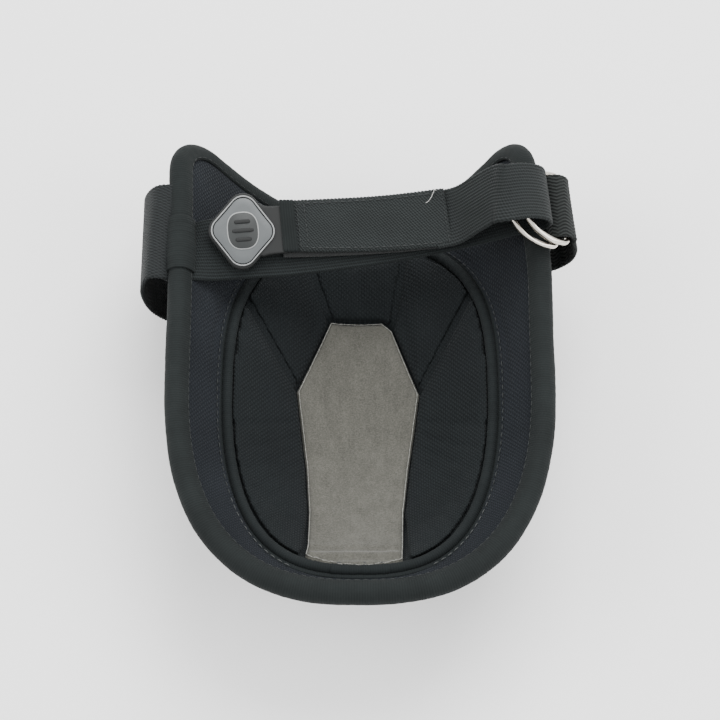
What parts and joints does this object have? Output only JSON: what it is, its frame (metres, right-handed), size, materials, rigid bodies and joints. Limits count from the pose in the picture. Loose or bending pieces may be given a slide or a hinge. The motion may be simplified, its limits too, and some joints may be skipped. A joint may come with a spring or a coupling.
{
  "type": "kick shield",
  "caption": "Cup-shaped padded limb guard with a hard outer shell, piped inner dish, and an elastic hook-and-loop strap through paired D-rings.",
  "frame": {"origin": "centre of the strike plate's flat face, which the guard lies on with its mouth up", "axes": "+X towards the rings' side, +Y from the closed toe to the two horns, +Z out of the mouth"},
  "size_m": [0.1732, 0.1982, 0.0842],
  "materials": {
    "shell_plastic": "moulded, fine texture",
    "plate_rubber": "matte moulded rubber",
    "foam": "closed-cell foam",
    "mesh_fabric": "honeycomb knit mesh",
    "suede": "brushed loop pile",
    "tape": "ribbed grosgrain tape",
    "webbing": "ribbed and twill elastic",
    "fastener": "hook and loop pile",
    "steel": "polished",
    "tab_rubber": "matte moulded rubber",
    "badge": "matte print"
  },
  "bodies": {
    "shell": {"outer_shell": "shell_plastic", "strike_plate": "plate_rubber", "foam_core": "foam", "lining": "mesh_fabric", "dish_base": "mesh_fabric", "pad_top": "mesh_fabric", "pad_upper_left": "mesh_fabric", "pad_upper_right": "mesh_fabric", "pad_lower_left": "mesh_fabric", "pad_lower_right": "mesh_fabric", "centre_patch": "suede", "piping_ring": "tape", "piping_sleeve": "tape", "rim_binding": "tape", "binding_overlap": "tape", "main_strap": "webbing", "loop_tape": "fastener", "left_elastic": "webbing", "left_anchor": "tape", "ring_loop": "webbing", "right_anchor": "tape"},
    "rings": {"d_ring_upper": "steel", "strap_fold": "webbing"},
    "lower_ring": {"d_ring_lower": "steel"},
    "tail": {"tail_elastic": "webbing", "tail_webbing": "webbing", "hook_tape": "fastener"},
    "tab": {"pull_tab": "tab_rubber", "badge_border": "badge", "badge_panel": "badge", "grip_rib_1": "tab_rubber", "grip_rib_2": "tab_rubber", "grip_rib_3": "tab_rubber"}
  },
  "joints": [
    {"name": "ring_swing", "type": "hinge", "parent": "shell", "child": "rings", "pos_m": [0.0784, 0.065, 0.0626], "axis": [-0.1043, 0.9921, 0.0698], "range_deg": [0, 20]},
    {"name": "lower_ring_swing", "type": "hinge", "parent": "shell", "child": "lower_ring", "pos_m": [0.0784, 0.065, 0.0626], "axis": [-0.1043, 0.9921, 0.0698], "range_deg": [0, 20]},
    {"name": "tail_peel", "type": "hinge", "parent": "rings", "child": "tail", "pos_m": [0.05822, 0.06331, 0.08228], "axis": [-0.1043, 0.9921, 0.0698], "range_deg": [0, 130]},
    {"name": "tab_flex", "type": "hinge", "parent": "tail", "child": "tab", "pos_m": [-0.03099, 0.05631, 0.05798], "axis": [-0.0946, 0.9493, 0.2998], "range_deg": [0, 60]}
  ],
  "couplings": [
    {"joint": "lower_ring_swing", "follows": "ring_swing", "ratio": 1}
  ]
}
